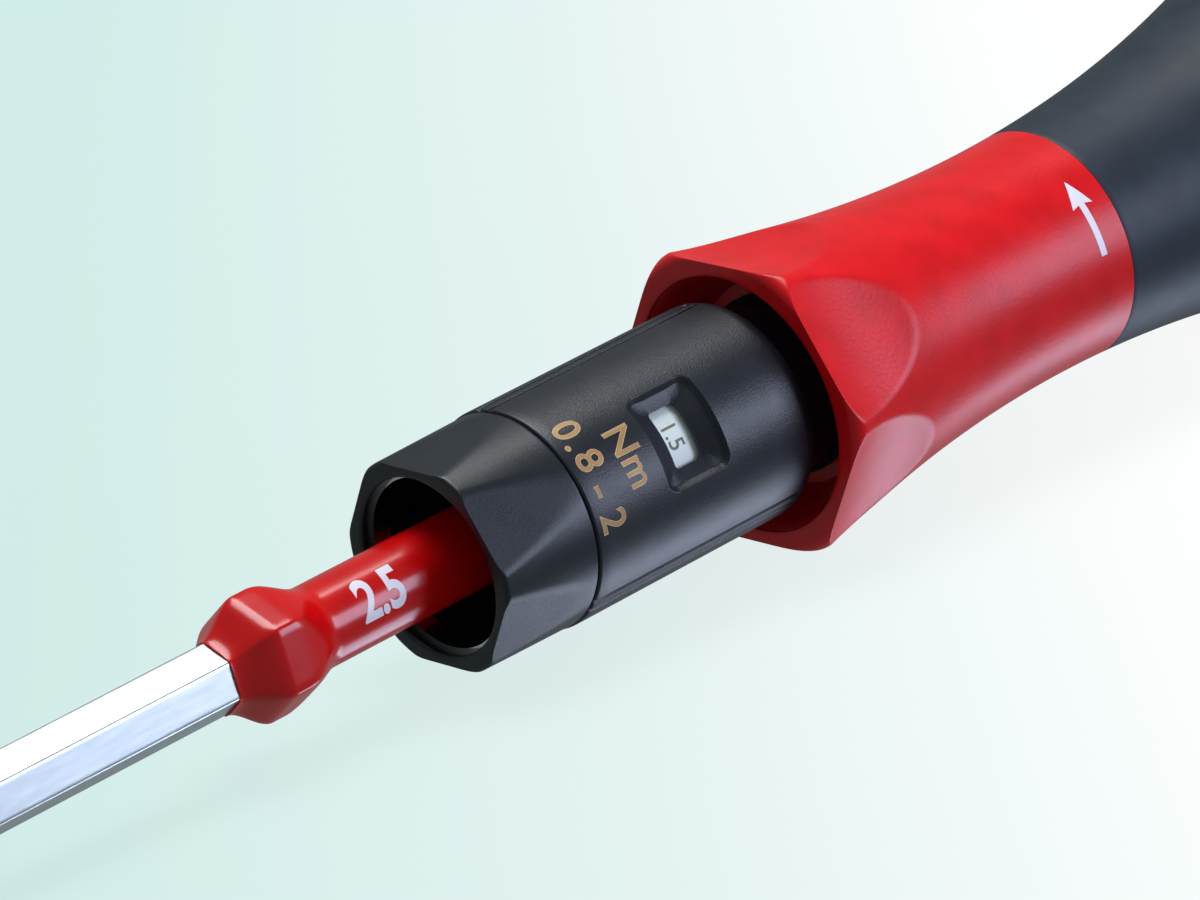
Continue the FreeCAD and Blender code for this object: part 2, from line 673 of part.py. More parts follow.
def make_sleeve():
    body = new_body("sleeve")
    shoulder_round = S["sleeve_round"]
    revolve(body, "sleeve_turned", [
        (neck_rear, S["shaft_rad"]), (neck_rear, S["neck_rad"]), (shoulder_at, S["neck_rad"]),
        (shoulder_at, S["sleeve_rad"] - shoulder_round, shoulder_round, 1),
        (shoulder_at + shoulder_round, S["sleeve_rad"]),
        (seam_at - S["seam_bevel"], S["sleeve_rad"]), (seam_at, S["sleeve_rad"] - S["seam_bevel"]),
        (seam_at, S["sleeve_bore"]), (wall_front, S["sleeve_bore"]),
        (wall_front, S["shaft_rad"])])
    pin_hole(body, "neck_pin_hole", S["neck_rad"] + S["cut_over"])
    cut_window(body)
    cut_side_grooves(body)
    turn_about_axis(body, S["drive_turn"])
    return body


def make_nose_ring():
    body = new_body("nose_ring")
    bevel, rounding, lip = S["seam_bevel"], S["ring_round"], S["mouth_lip"]
    revolve(body, "ring_turned", [
        (spigot_rear, S["boss_rad"]), (spigot_rear, S["sleeve_bore"]),
        (seam_at, S["sleeve_bore"]), (seam_at, S["ring_rear_rad"] - bevel),
        (seam_at + bevel, S["ring_rear_rad"]),
        (nose_face - rounding, S["ring_front_rad"], rounding, 1),
        (nose_face, S["ring_front_rad"] - rounding),
        (nose_face, S["mouth_rad"] + lip, lip, 1), (nose_face - lip, S["mouth_rad"]),
        (socket_front, S["mouth_rad"]), (socket_front, S["boss_rad"])])
    rise = tangent(S["ring_lean"])
    beyond, over = nose_face + S["cut_over"], S["ring_flat"] * 2
    sketch = draw(new_sketch(body, "ring_flat_sketch", "XZ_Plane"), [
        (seam_at + bevel, S["ring_flat"] + rise * (S["ring_len"] - bevel)),
        (beyond, S["ring_flat"] - rise * S["cut_over"]), (beyond, over), (seam_at + bevel, over)])
    flat = extrude(body, "ring_flat", sketch, "Pocket", over, both=True)
    repeat_round(body, "ring_flats", flat, S["flat_count"])
    turn_about_axis(body, S["drive_turn"])
    return body


def make_mouth_ring():
    body = new_body("mouth_ring")
    front = nose_face - S["mouth_ring_back"]
    rear = front - S["mouth_ring_len"]
    outer = S["mouth_rad"]
    revolve(body, "mouth_ring_turned", [
        (rear, outer - S["mouth_ring_wall"]), (rear, outer), (front, outer),
        (front, outer - S["mouth_ring_lip"])])
    return body


def make_drive_socket():
    body = new_body("drive_socket")
    revolve(body, "socket_turned", [
        (socket_rear, 0), (socket_rear, S["sleeve_bore"]), (spigot_rear, S["sleeve_bore"]),
        (spigot_rear, S["boss_rad"]), (socket_front, S["boss_rad"]), (socket_front, 0)])
    flats = S["blade_flats"] + S["hex_gap"] * 2
    sketch = draw(new_sketch(body, "socket_hexagon", "YZ_Plane", lift=socket_rear), hexagon(flats))
    extrude(body, "socket_hole", sketch, "Pocket", socket_front - socket_rear, reverse=True)
    room = S["hex_gap"]
    revolve(body, "clip_groove_cut", rectangle(
        clip_rear - room, clip_front + room, 0, clip_inner + S["clip_wall"] + room), "Groove")
    mouth = flats / root(size_of(3)) + S["lead_in_over"]
    lead_rear = socket_front - S["lead_in"]
    revolve(body, "socket_lead_in", [
        (lead_rear, mouth - S["lead_in"]), (socket_front, mouth), (socket_front, 0),
        (lead_rear, 0)], "Groove")
    turn_about_axis(body, S["blade_turn"])
    return body


clip_inner = S["blade_flats"] / root(size_of(3)) + S["hex_gap"]


def make_blade_clip():
    body = new_body("blade_clip")
    revolve(body, "clip_turned", ring_outline(
        clip_rear, clip_front, clip_inner, clip_inner + S["clip_wall"]))
    half = S["clip_split"] / 2
    sketch = draw(new_sketch(body, "split_sketch", "XY_Plane"), rectangle(
        clip_rear - S["cut_over"], clip_front + S["cut_over"], -half, half))
    extrude(body, "clip_gap", sketch, "Pocket", S["boss_rad"], reverse=True)
    turn_about_axis(body, S["drive_turn"])
    return body


# ---- blade ------------------------------------------------------------------

def make_blade_shank():
    body = new_body("blade_shank")
    rear = socket_rear + S["blade_end_gap"]
    full = nose_face + S["shank_out"]
    small = full + S["taper_len"]
    front = small + S["tip_len"]
    sketch = draw(new_sketch(body, "shank_sketch", "YZ_Plane", lift=rear),
                  hexagon(S["blade_flats"]))
    extrude(body, "shank_bar", sketch, "Pad", full - rear)
    wide = draw(new_sketch(body, "taper_rear", "YZ_Plane", lift=full), hexagon(S["blade_flats"]))
    slim = draw(new_sketch(body, "taper_front", "YZ_Plane", lift=small), hexagon(S["tip_flats"]))
    taper = body.newObject("PartDesign::AdditiveLoft", "shank_taper")
    taper.Profile = wide
    taper.Sections = [slim]
    taper.Ruled = True
    wide.Visibility = False
    slim.Visibility = False
    sketch = draw(new_sketch(body, "tip_sketch", "YZ_Plane", lift=small), hexagon(S["tip_flats"]))
    extrude(body, "tip_bar", sketch, "Pad", S["tip_len"])
    bevel = S["end_bevel"]
    for name, end, flats, way in (("rear_bevel", rear, S["blade_flats"], 1),
                                  ("tip_bevel", front, S["tip_flats"], -1)):
        corner = flats / root(size_of(3))
        over = corner + S["cut_over"]
        revolve(body, name, [
            (end, corner - bevel), (end + bevel * way, corner), (end + bevel * way, over),
            (end, over)], "Groove")
    turn_about_axis(body, S["blade_turn"])
    return body


def make_blade_grip():
    """The red tube: a turned outline, cut to a hexagon along its bulge."""
    body = new_body("blade_grip")
    tube_rear = socket_front + S["tube_gap"]
    hub_rear, hub_front = nose_face + S["hub_rear_at"], nose_face + S["hub_front_at"]
    mid_rear, mid_front = nose_face + S["hub_mid_rear_at"], nose_face + S["hub_mid_front_at"]
    nose_rad = S["hub_nose_flats"] / root(size_of(3))
    flat, nose_flat = S["hub_flats"] / 2, S["hub_nose_flats"] / 2
    foot = S["tube_rad"] + S["hub_foot"]
    rear_run = S["hub_mid_rear_at"] - S["hub_rear_at"]
    front_run = S["hub_front_at"] - S["hub_mid_front_at"]
    revolve(body, "tube_turned", [
        (tube_rear, 0), (tube_rear, S["tube_rad"]),
        (hub_rear, S["tube_rad"], crown_sweep(rear_run, S["hub_rad"] - S["tube_rad"]), -1),
        (mid_rear, S["hub_rad"]),
        (mid_front, S["hub_rad"], crown_sweep(front_run, S["hub_rad"] - nose_rad), -1),
        (hub_front, nose_rad), (hub_front, 0)])
    bore = draw(new_sketch(body, "bore_sketch", "YZ_Plane", lift=tube_rear),
                hexagon(S["blade_flats"]))
    extrude(body, "tube_bore", bore, "Pocket", hub_front - tube_rear, reverse=True)
    over, beyond = S["hub_rad"] * 2, hub_front + S["cut_over"]
    sides = draw(new_sketch(body, "hub_side_sketch", "XZ_Plane"), [
        (hub_rear, foot, crown_sweep(rear_run, flat - foot), -1), (mid_rear, flat),
        (mid_front, flat, crown_sweep(front_run, flat - nose_flat), -1), (hub_front, nose_flat),
        (beyond, nose_flat), (beyond, over), (hub_rear, over)])
    cut = extrude(body, "hub_side", sides, "Pocket", over, both=True)
    repeat_round(body, "hub_sides", cut, S["flat_count"])
    turn_about_axis(body, S["blade_turn"])
    return body


# ---- setting spindle and scale ----------------------------------------------

def make_setting_spindle():
    body = new_body("setting_spindle")
    rear = shaft_rear + S["spindle_inset"]
    bevel = S["end_bevel"]
    groove_rad = S["stub_rad"] - S["clip_groove"]
    revolve(body, "spindle_turned", [
        (rear, 0), (rear, S["spindle_rad"] - bevel), (rear + bevel, S["spindle_rad"]),
        (flange_rear, S["spindle_rad"]), (flange_rear, S["flange_rad"]),
        (drum_rear, S["flange_rad"]), (drum_rear, S["stub_rad"]),
        (drum_front, S["stub_rad"]), (drum_front, groove_rad),
        (drum_clip_front, groove_rad), (drum_clip_front, S["stub_rad"]),
        (spindle_front, S["stub_rad"]), (spindle_front, 0)])
    sketch = draw(new_sketch(body, "key_sketch", "YZ_Plane", lift=rear), hexagon(S["key_flats"]))
    extrude(body, "key_socket", sketch, "Pocket", S["key_depth"], reverse=True)
    return body


def make_spindle_washer():
    body = new_body("spindle_washer")
    revolve(body, "washer_turned", ring_outline(
        wall_front, flange_rear, spindle_fit, S["washer_rad"]))
    return body


def make_scale_drum():
    body = new_body("scale_drum")
    rim_inner = S["drum_rad"] - S["drum_rim"]
    web_rear = window_at - S["drum_web"] / 2
    web_front = window_at + S["drum_web"] / 2
    revolve(body, "drum_turned", [
        (drum_rear, S["stub_rad"]), (drum_rear, S["drum_hub"]), (web_rear, S["drum_hub"]),
        (web_rear, rim_inner), (drum_rear, rim_inner), (drum_rear, S["drum_rad"]),
        (drum_front, S["drum_rad"]), (drum_front, rim_inner), (web_front, rim_inner),
        (web_front, S["drum_hub"]), (drum_front, S["drum_hub"]), (drum_front, S["stub_rad"])])
    return body


def make_drum_clip():
    body = new_body("drum_clip")
    revolve(body, "drum_clip_turned", ring_outline(
        drum_front, drum_clip_front, S["stub_rad"] - S["clip_groove"], S["drum_clip_rad"]))
    half = S["clip_split"] / 2
    sketch = draw(new_sketch(body, "drum_split_sketch", "XY_Plane"), rectangle(
        drum_front - S["cut_over"], drum_clip_front + S["cut_over"], -half, half))
    extrude(body, "drum_clip_gap", sketch, "Pocket", S["flange_rad"], reverse=True)
    return body


# ---- assembly and export ----------------------------------------------------

pieces = [
    make_handle_core(), make_grip(), make_end_cap(), make_front_bush(), make_cam_ring(),
    make_ball_carrier(), make_detent_balls(),
    make_spring_seat("front_spring_seat", spring_front),
    make_clutch_spring(), make_spring_seat("rear_spring_seat", nut_front), make_spring_nut(),
    make_drive_shaft(), make_neck_pins(), make_thrust_washer(), make_sleeve(), make_nose_ring(),
    make_mouth_ring(), make_drive_socket(), make_blade_clip(), make_blade_shank(),
    make_blade_grip(), make_setting_spindle(), make_spindle_washer(), make_scale_drum(),
    make_drum_clip(),
]
doc.recompute()

faults = [f"{item.Name}: {item.State}" for item in doc.Objects
          if "Invalid" in item.State or "Error" in item.State]
faults += [f"{piece.Label}: no valid solid" for piece in pieces
           if piece.Shape.isNull() or not piece.Shape.isValid() or not piece.Shape.Solids]
if faults:
    raise SystemExit("\n".join(faults))

for piece in pieces:
    piece.Shape.exportStep(f"parts/{piece.Label}.step")
    box = piece.Shape.BoundBox
    print(f"{piece.Label:18s} solids {len(piece.Shape.Solids)}  volume {piece.Shape.Volume:9.2f}  "
          f"x {box.XMin:7.2f} to {box.XMax:7.2f}  radius {box.ZMax:6.2f}")
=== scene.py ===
"""Looks of the torque screwdriver. Metres, in the row's frame: +X towards the tip, +Z up.

Sizes in this file are millimetres until they reach a mesh. A turn is an angle about the
tool's axis, in degrees from +Z towards +Y.
"""
import math

import bmesh
import bpy
import numpy as np
from mathutils import Matrix, Vector


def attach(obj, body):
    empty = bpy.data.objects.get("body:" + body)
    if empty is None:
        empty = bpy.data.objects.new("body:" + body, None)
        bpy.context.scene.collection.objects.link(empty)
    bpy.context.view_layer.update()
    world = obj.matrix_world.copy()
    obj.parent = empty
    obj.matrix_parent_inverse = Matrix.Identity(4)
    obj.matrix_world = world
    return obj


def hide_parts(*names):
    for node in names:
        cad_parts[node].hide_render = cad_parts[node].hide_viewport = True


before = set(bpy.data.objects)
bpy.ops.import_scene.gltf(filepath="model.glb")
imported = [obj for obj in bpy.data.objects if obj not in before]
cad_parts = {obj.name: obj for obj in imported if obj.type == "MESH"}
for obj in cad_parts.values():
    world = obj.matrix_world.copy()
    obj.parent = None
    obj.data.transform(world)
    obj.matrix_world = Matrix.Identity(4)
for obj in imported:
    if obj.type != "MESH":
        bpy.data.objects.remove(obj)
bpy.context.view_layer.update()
MM = 0.001

# ---- stations of the tool along its axis -------------------------------------

WAIST_AT, WAIST_RAD, WAIST_SWEEP = 66.7, 9.68, 129.0
SEAM = 61.6
COLLAR_FACE = 96.7
RING_SEAM = 120.65
NOSE = 130.0
DRIVE_TURN = 60.0
BLADE_TURN = 20.1


# ---- meshes ------------------------------------------------------------------

def arc(x, r, radius, start, end, count=8):
    """Points of an arc in the section, angles in degrees from +X towards outside."""
    angles = np.radians(np.linspace(start, end, count + 1))
    return [(x + radius * math.cos(a), r + radius * math.sin(a)) for a in angles]


def along(start, end, count):
    """Evenly spaced points of a straight run, without its end."""
    return [tuple(p) for p in np.linspace(start, end, count, endpoint=False)]


def sweep_rad(x):
    return WAIST_RAD + WAIST_SWEEP - math.sqrt(WAIST_SWEEP ** 2 - (x - WAIST_AT) ** 2)


def soft_min(a, b, soft):
    """The smaller of two radii, blended over a band so that the edge between is rounded."""
    h = np.clip(0.5 + 0.5 * (b - a) / soft, 0, 1)
    return a * h + b * (1 - h) - soft * h * (1 - h)


def side_angle(turns, turn, count=6):
    """Angle to the middle of the nearest of several equal sides, in radians."""
    pitch = 2 * math.pi / count
    return (turns - math.radians(turn) + pitch / 2) % pitch - pitch / 2


def finish_mesh(obj, sharp=35):
    mesh = obj.data
    work = bmesh.new()
    work.from_mesh(mesh)
    bmesh.ops.recalc_face_normals(work, faces=work.faces)
    work.to_mesh(mesh)
    work.free()
    mesh.shade_smooth()
    mesh.set_sharp_from_angle(angle=math.radians(sharp))


def lathe(name, outline, steps=360, shape=None, closed=True, turns=None):
    """A turned body from a section outline; shape(x, r, turns) may move its radius."""
    if turns is None:
        turns = np.arange(steps) * 2 * math.pi / steps
    count = len(turns)
    x = np.array([p[0] for p in outline])[:, None] + 0 * turns[None, :]
    r = np.array([p[1] for p in outline])[:, None] + 0 * turns[None, :]
    if shape:
        r = shape(x, r, turns[None, :])
    y, z = r * np.sin(turns), r * np.cos(turns)
    points = np.stack([x, y, z], axis=2).reshape(-1, 3) * MM
    rows = len(outline)
    here = np.arange(rows if closed else rows - 1)[:, None]
    side = np.arange(count)[None, :]
    next_row, next_side = (here + 1) % rows, (side + 1) % count
    faces = np.stack([here * count + side, next_row * count + side,
                      next_row * count + next_side, here * count + next_side], axis=2)
    faces = faces.reshape(-1, 4).tolist()
    if not closed:
        faces.append(list(range(count)))
        faces.append(list(range((rows - 1) * count, rows * count)))
    mesh = bpy.data.meshes.new(name)
    mesh.from_pydata(points.tolist(), [], faces)
    obj = bpy.data.objects.new(name, mesh)
    bpy.context.scene.collection.objects.link(obj)
    finish_mesh(obj)
    return obj


def dress(obj, body, material, node=None):
    obj.data.materials.clear()
    obj.data.materials.append(material)
    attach(obj, body)
    if node:
        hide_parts(node)
    return obj


# ---- materials ---------------------------------------------------------------

class Nodes:
    """A material under construction."""

    def __init__(self, name):
        self.material = bpy.data.materials.new(name)
        self.material.use_nodes = True
        self.tree = self.material.node_tree
        self.shader = self.tree.nodes["Principled BSDF"]
        self.place = self.add("ShaderNodeTexCoord").outputs["Object"]

    def add(self, kind, **values):
        node = self.tree.nodes.new(kind)
        for key, value in values.items():
            setattr(node, key, value)
        return node

    def join(self, source, target):
        self.tree.links.new(source, target)

    def noise(self, size, detail=2.0, rough=0.5, stretch=(1, 1, 1)):
        """Noise with features of about the given size in millimetres."""
        mapping = self.add("ShaderNodeMapping")
        mapping.inputs["Scale"].default_value = stretch
        self.join(self.place, mapping.inputs["Vector"])
        noise = self.add("ShaderNodeTexNoise")
        noise.inputs["Scale"].default_value = 1 / (size * MM)
        noise.inputs["Detail"].default_value = detail
        noise.inputs["Roughness"].default_value = rough
        self.join(mapping.outputs["Vector"], noise.inputs["Vector"])
        return noise.outputs["Fac"]

    def ramp(self, fac, *stops):
        ramp = self.add("ShaderNodeValToRGB")
        elements = ramp.color_ramp.elements
        while len(elements) < len(stops):
            elements.new(0.5)
        for element, (position, colour) in zip(elements, stops):
            element.position = position
            element.color = (*colour, 1)
        self.join(fac, ramp.inputs["Fac"])
        return ramp.outputs["Color"]

    def spread(self, fac, low, high):
        node = self.add("ShaderNodeMapRange")
        node.inputs["To Min"].default_value = low
        node.inputs["To Max"].default_value = high
        self.join(fac, node.inputs["Value"])
        return node.outputs["Result"]

    def bump(self, height, distance, strength=1.0, under=None):
        node = self.add("ShaderNodeBump")
        node.inputs["Strength"].default_value = strength
        node.inputs["Distance"].default_value = distance * MM
        self.join(height, node.inputs["Height"])
        if under:
            self.join(under, node.inputs["Normal"])
        return node.outputs["Normal"]

    def set(self, **values):
        for key, value in values.items():
            self.shader.inputs[key.replace("_", " ")].default_value = value


def colour(red, green, blue):
    """A picture colour, 0 to 255, as linear light."""
    parts = [c / 255 for c in (red, green, blue)]
    return tuple(c / 12.92 if c <= 0.04045 else ((c + 0.055) / 1.055) ** 2.4 for c in parts)


def moulded(name, light, dark, rough, grain, depth, mottle=3.0, specular=0.5, coat=0.0):
    """Moulded plastic: slight mottling of the colour and a fine eroded grain."""
    m = Nodes(name)
    patches = m.noise(mottle, 3)
    m.join(m.ramp(patches, (0.3, dark), (0.7, light)), m.shader.inputs["Base Color"])
    m.join(m.spread(m.noise(mottle * 0.6, 2), rough - 0.04, rough + 0.04),
           m.shader.inputs["Roughness"])
    fine = m.bump(m.noise(grain, 2, 0.6), depth)
    m.join(m.bump(m.noise(grain * 7, 2), depth * 0.8, 0.5, fine), m.shader.inputs["Normal"])
    m.set(Specular_IOR_Level=specular, Coat_Weight=coat, Coat_Roughness=0.12)
    return m.material


def metal(name, light, dark, rough, grain=0.12, depth=0.002, stretch=(1, 1, 1), aniso=0.0):
    """Machined or plated metal with fine tool marks."""
    m = Nodes(name)
    streaks = m.noise(grain * 6, 3, 0.6, stretch)
    m.join(m.ramp(streaks, (0.3, dark), (0.7, light)), m.shader.inputs["Base Color"])
    m.join(m.spread(m.noise(grain * 3, 2, 0.5, stretch), rough - 0.05, rough + 0.05),
           m.shader.inputs["Roughness"])
    m.join(m.bump(m.noise(grain, 2, 0.5, stretch), depth), m.shader.inputs["Normal"])
    m.set(Metallic=1.0, Anisotropic=aniso)
    return m.material


red_plastic = moulded("red_plastic", colour(222, 8, 22), colour(204, 4, 14), 0.34, 0.35, 0.014,
                      specular=0.3)
black_grip = moulded("black_grip", colour(36, 46, 58), colour(28, 37, 48), 0.5, 0.5, 0.004,
                     specular=0.3)
sleeve_plastic = moulded("sleeve_plastic", colour(26, 30, 39), colour(17, 21, 29), 0.38, 0.16,
                         0.018, specular=0.4)
ring_plastic = moulded("ring_plastic", colour(22, 28, 36), colour(15, 20, 27), 0.36, 0.2, 0.008,
                       specular=0.4)
cap_plastic = moulded("cap_plastic", colour(34, 40, 48), colour(26, 32, 40), 0.45, 0.3, 0.006,
                      specular=0.3)
tube_plastic = moulded("tube_plastic", colour(206, 6, 8), colour(190, 3, 5), 0.22, 0.8, 0.004,
                       specular=0.35, coat=0.15)
blade_metal = metal("blade_metal", colour(214, 222, 224), colour(196, 206, 209), 0.3, 0.1, 0.0015,
                    (0.12, 1, 1))
steel = metal("steel", colour(160, 164, 168), colour(140, 144, 148), 0.35)
# Near-black steel. On the drive socket this dark colour is painted shade for the dark inside of the
# mouth.
black_steel_and_shade = metal("black_steel_and_shade", colour(30, 31, 33), colour(20, 21, 23), 0.5)
polished = metal("polished", colour(220, 222, 224), colour(200, 202, 206), 0.12)
spring_steel = metal("spring_steel", colour(96, 98, 102), colour(78, 80, 84), 0.3)
brass = metal("brass", colour(190, 150, 84), colour(170, 132, 70), 0.3)
drum_white = moulded("drum_white", colour(226, 234, 232), colour(212, 222, 221), 0.5, 0.3, 0.003)
gold_fill = moulded("gold_fill", colour(186, 142, 88), colour(150, 114, 68), 0.5, 0.2, 0.004)
# A lighter gold for the thin rim round each letter: a painted highlight along the print's edges.
gold_edge_highlight = moulded("gold_edge_highlight", colour(226, 196, 150), colour(198, 166, 120), 0.5, 0.2, 0.004)
white_print = moulded("white_print", colour(236, 230, 240), colour(226, 220, 232), 0.4, 0.4, 0.003)
drum_print = moulded("drum_print", colour(120, 116, 92), colour(100, 97, 80), 0.6, 0.2, 0.002)

node_looks = {
    "end_cap": cap_plastic, "front_bush": brass, "cam_ring": steel, "ball_carrier": steel,
    "detent_balls": polished, "front_spring_seat": steel, "clutch_spring": spring_steel,
    "rear_spring_seat": steel, "spring_nut": brass, "drive_shaft": steel, "neck_pins": steel,
    # the drive socket gets the near-black steel as painted shade deep inside the mouth
    "thrust_washer": black_steel_and_shade, "mouth_ring": polished, "drive_socket": black_steel_and_shade,
    "blade_clip": spring_steel, "setting_spindle": steel, "spindle_washer": brass,
    "scale_drum": drum_white, "drum_clip": spring_steel,
}
for node_name, look in node_looks.items():
    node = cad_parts[node_name]
    if not node.material_slots:
        node.data.materials.append(None)
    for place in node.material_slots:
        place.material = look


# ---- handle ------------------------------------------------------------------

core_thin = sweep_rad(SEAM) - 1.5
core_steps = [(6.0, 12.3), (6.0, 13.4), (21.7, 13.4), (30.0, 10.4), (42.0, 10.4),
              (50.0, core_thin), (SEAM, core_thin)]


HOLLOW_AT, HOLLOW_HEIGHT, HOLLOW_SWEEP = 90.2, 10.86, 25.0
COLLAR_ROUND = 1.0


def collar_shape(x, r, turns):
    """Six hollows round the collar, straight across and curved along the handle."""
    away = np.clip(x - HOLLOW_AT, -10, 10)
    height = HOLLOW_HEIGHT + HOLLOW_SWEEP - np.sqrt(HOLLOW_SWEEP ** 2 - away ** 2)
    outside = (x > HOLLOW_AT - 9) & (r > 10.8)
    return np.where(outside, soft_min(r, height / np.cos(side_angle(turns, 0)), 0.16), r)


def build_handle():
    lean = (COLLAR_FACE - WAIST_AT) / WAIST_SWEEP
    round_at = COLLAR_FACE - COLLAR_ROUND * (1 + lean)
    face_rad = sweep_rad(round_at) - COLLAR_ROUND * math.sqrt(1 - lean ** 2)
    edge_rad = face_rad - 1.35
    start = 90 + math.degrees(math.asin(lean))
    outline = [(3.5, 8.0), (3.5, 12.3)] + core_steps
    outline += [(x, sweep_rad(x)) for x in np.linspace(SEAM + 0.02, round_at, 160)]
    outline += arc(COLLAR_FACE - COLLAR_ROUND, face_rad, COLLAR_ROUND, start, 0, 16)[1:]
    outline += along((COLLAR_FACE, face_rad - 0.1), (COLLAR_FACE, edge_rad + 0.25), 5)
    outline += arc(COLLAR_FACE - 0.2, edge_rad + 0.2, 0.2, 0, -114, 6)[1:]
    outline += along((COLLAR_FACE - 0.4, edge_rad - 0.1), (91.8, edge_rad - 2.2), 5)
    outline += [(91.8, edge_rad - 2.2), (91.8, 7.0), (83.8, 7.0), (83.8, 6.2), (40.0, 6.2),
                (40.0, 8.0)]
    core = lathe("handle_shell", outline, 480, collar_shape)
    dress(core, "handle", red_plastic, "handle_core")

    outline = [(2.0, 12.3), (2.0, 13.3)]
    tail = (10.7 ** 2 + 3.3 ** 2) / 6.6
    start = 180 - math.degrees(math.acos(10.7 / tail))
    outline += arc(12.7, 16.9 - tail, tail, start, 90, 24)
    rise = 16.9 - sweep_rad(32.0)
    crown = (19.3 ** 2 + rise ** 2) / (2 * rise)
    outline += arc(12.7, 16.9 - crown, crown, 90, 90 - math.degrees(math.asin(19.3 / crown)),
                   30)[1:]
    outline += [(x, sweep_rad(x)) for x in np.linspace(32.6, SEAM - 0.12, 60)]
    outline += [(SEAM - 0.04, sweep_rad(SEAM) - 0.03), (SEAM, sweep_rad(SEAM) - 0.12)]
    outline += core_steps[::-1]
    grip = lathe("grip_cover", outline, 240)
    dress(grip, "handle", black_grip, "grip")


# ---- sleeve ------------------------------------------------------------------

WINDOW_AT = 109.4


def rounded_inside(u, v, half_u, half_v, corner):
    """Distance to a rounded rectangle, positive inside."""
    a, b = np.abs(u) - half_u + corner, np.abs(v) - half_v + corner
    outside = np.hypot(np.maximum(a, 0), np.maximum(b, 0))
    return corner - outside - np.minimum(np.maximum(a, b), 0)


def sleeve_shape(x, r, turns):
    on_skin = (r > 8.9) & (x > COLLAR_FACE + 1.7)
    away = (turns - math.radians(DRIVE_TURN) + math.pi) % (2 * math.pi) - math.pi
    u, v = x - WINDOW_AT - 0.1, away * 9.0
    outer = rounded_inside(u, v - 0.1, 3.3, 4.1, 1.1)
    inner = -rounded_inside(u + 0.1, v - 0.1, 1.35, 2.75, 0.4)
    share = np.clip(outer / np.maximum(outer + np.maximum(inner, 0), 0.001), 0, 1)
    lip = np.clip(outer / 0.35, 0, 1)
    sink = 1.15 * (0.25 * lip + 0.75 * share) * (outer > 0)
    groove = np.zeros_like(r)
    for turn in (66.5, 74.0):
        off = np.abs(np.degrees(np.abs(away)) - turn) * math.pi / 180 * 9.0
        groove += 0.3 * np.clip((0.24 - off) / 0.1, 0, 1)
    near_end = np.where(x > RING_SEAM - 0.3, 0.6, 1.0)
    return np.where(on_skin, r - sink - groove * near_end, r)


def sleeve_turns():
    """Angles round the sleeve, fine across the window and the side grooves."""
    marks = [(DRIVE_TURN, 31, 0.4)]
    marks += [(DRIVE_TURN + side * turn, 3, 0.35) for side in (-1, 1) for turn in (66.5, 74.0)]
    values = []
    angle = 0.0
    while angle < 360:
        values.append(angle)
        step = 1.5
        for middle, half, fine in marks:
            if abs((angle - middle + 180) % 360 - 180) < half:
                step = fine
        angle += step
    return np.radians(values)


def build_sleeve():
    outline = [(92.4, 5.0), (92.4, 6.9)]
    outline += [(COLLAR_FACE - 0.1, 6.9), (COLLAR_FACE, 7.0)]
    outline += arc(COLLAR_FACE + 1.75, 7.25, 1.75, 180, 90, 16)
    outline += along((98.6, 9.0), (105.9, 9.0), 8) + along((105.9, 9.0), (113.2, 9.0), 73)
    outline += along((113.2, 9.0), (RING_SEAM - 0.3, 9.0), 7)
    outline += arc(RING_SEAM - 0.22, 8.78, 0.22, 90, 0, 4)
    outline += [(RING_SEAM, 7.75), (104.6, 7.75), (104.6, 5.0)]
    sleeve = lathe("sleeve_shell", outline, shape=sleeve_shape, turns=sleeve_turns())

    cutter = window_cutter()
    cut = sleeve.modifiers.new("window", "BOOLEAN")
    cut.object = cutter
    cut.solver = "EXACT"
    cut.operation = "DIFFERENCE"
    dg = bpy.context.evaluated_depsgraph_get()
    cut_mesh = bpy.data.meshes.new_from_object(sleeve.evaluated_get(dg))
    sleeve.modifiers.remove(cut)
    sleeve.data = cut_mesh
    sleeve.data.name = "sleeve_shell"
    bpy.data.objects.remove(cutter)
    sleeve.data.shade_smooth()
    sleeve.data.set_sharp_from_angle(angle=math.radians(35))
    dress(sleeve, "drive", sleeve_plastic, "sleeve")


def window_cutter():
    """A block with rounded corners that follows the curve of the sleeve."""
    corner, half_u, half_v = 0.4, 1.35, 2.75
    ring = []
    for at, (su, sv) in enumerate(((1, 1), (-1, 1), (-1, -1), (1, -1))):
        for angle in np.linspace(0, 90, 6):
            a = math.radians(angle + 90 * at)
            ring.append((su * (half_u - corner) + corner * math.cos(a),
                         sv * (half_v - corner) + corner * math.sin(a)))
    dense = []
    for (u0, v0), (u1, v1) in zip(ring, ring[1:] + ring[:1]):
        pieces = max(1, int(abs(v1 - v0) / 0.3))
        dense += [(u0 + (u1 - u0) * i / pieces, v0 + (v1 - v0) * i / pieces)
                  for i in range(pieces)]
    work = bmesh.new()
    layers = []
    for rad in (7.2, 8.6):
        layer = []
        for u, v in dense:
            turn = math.radians(DRIVE_TURN) + (v + 0.1) / 9.0
            layer.append(work.verts.new(Vector((WINDOW_AT + u, rad * math.sin(turn),
                                                rad * math.cos(turn))) * MM))
        layers.append(layer)
    count = len(dense)
    for i in range(count):
        j = (i + 1) % count
        work.faces.new((layers[0][i], layers[0][j], layers[1][j], layers[1][i]))
    work.faces.new(layers[0][::-1])
    work.faces.new(layers[1])
    bmesh.ops.recalc_face_normals(work, faces=work.faces)
    mesh = bpy.data.meshes.new("window_cutter")
    work.to_mesh(mesh)
    work.free()
    cutter = bpy.data.objects.new("window_cutter", mesh)
    bpy.context.scene.collection.objects.link(cutter)
    return cutter


# ---- nose --------------------------------------------------------------------

def ring_shape(x, r, turns):
    plane = (8.0 + (NOSE - x) * math.tan(math.radians(5.4)))
    plane = plane / np.cos(side_angle(turns, DRIVE_TURN))
    outside = (x > RING_SEAM + 0.1) & (r > 7.9)
    return np.where(outside, soft_min(r, plane, 0.16), r)


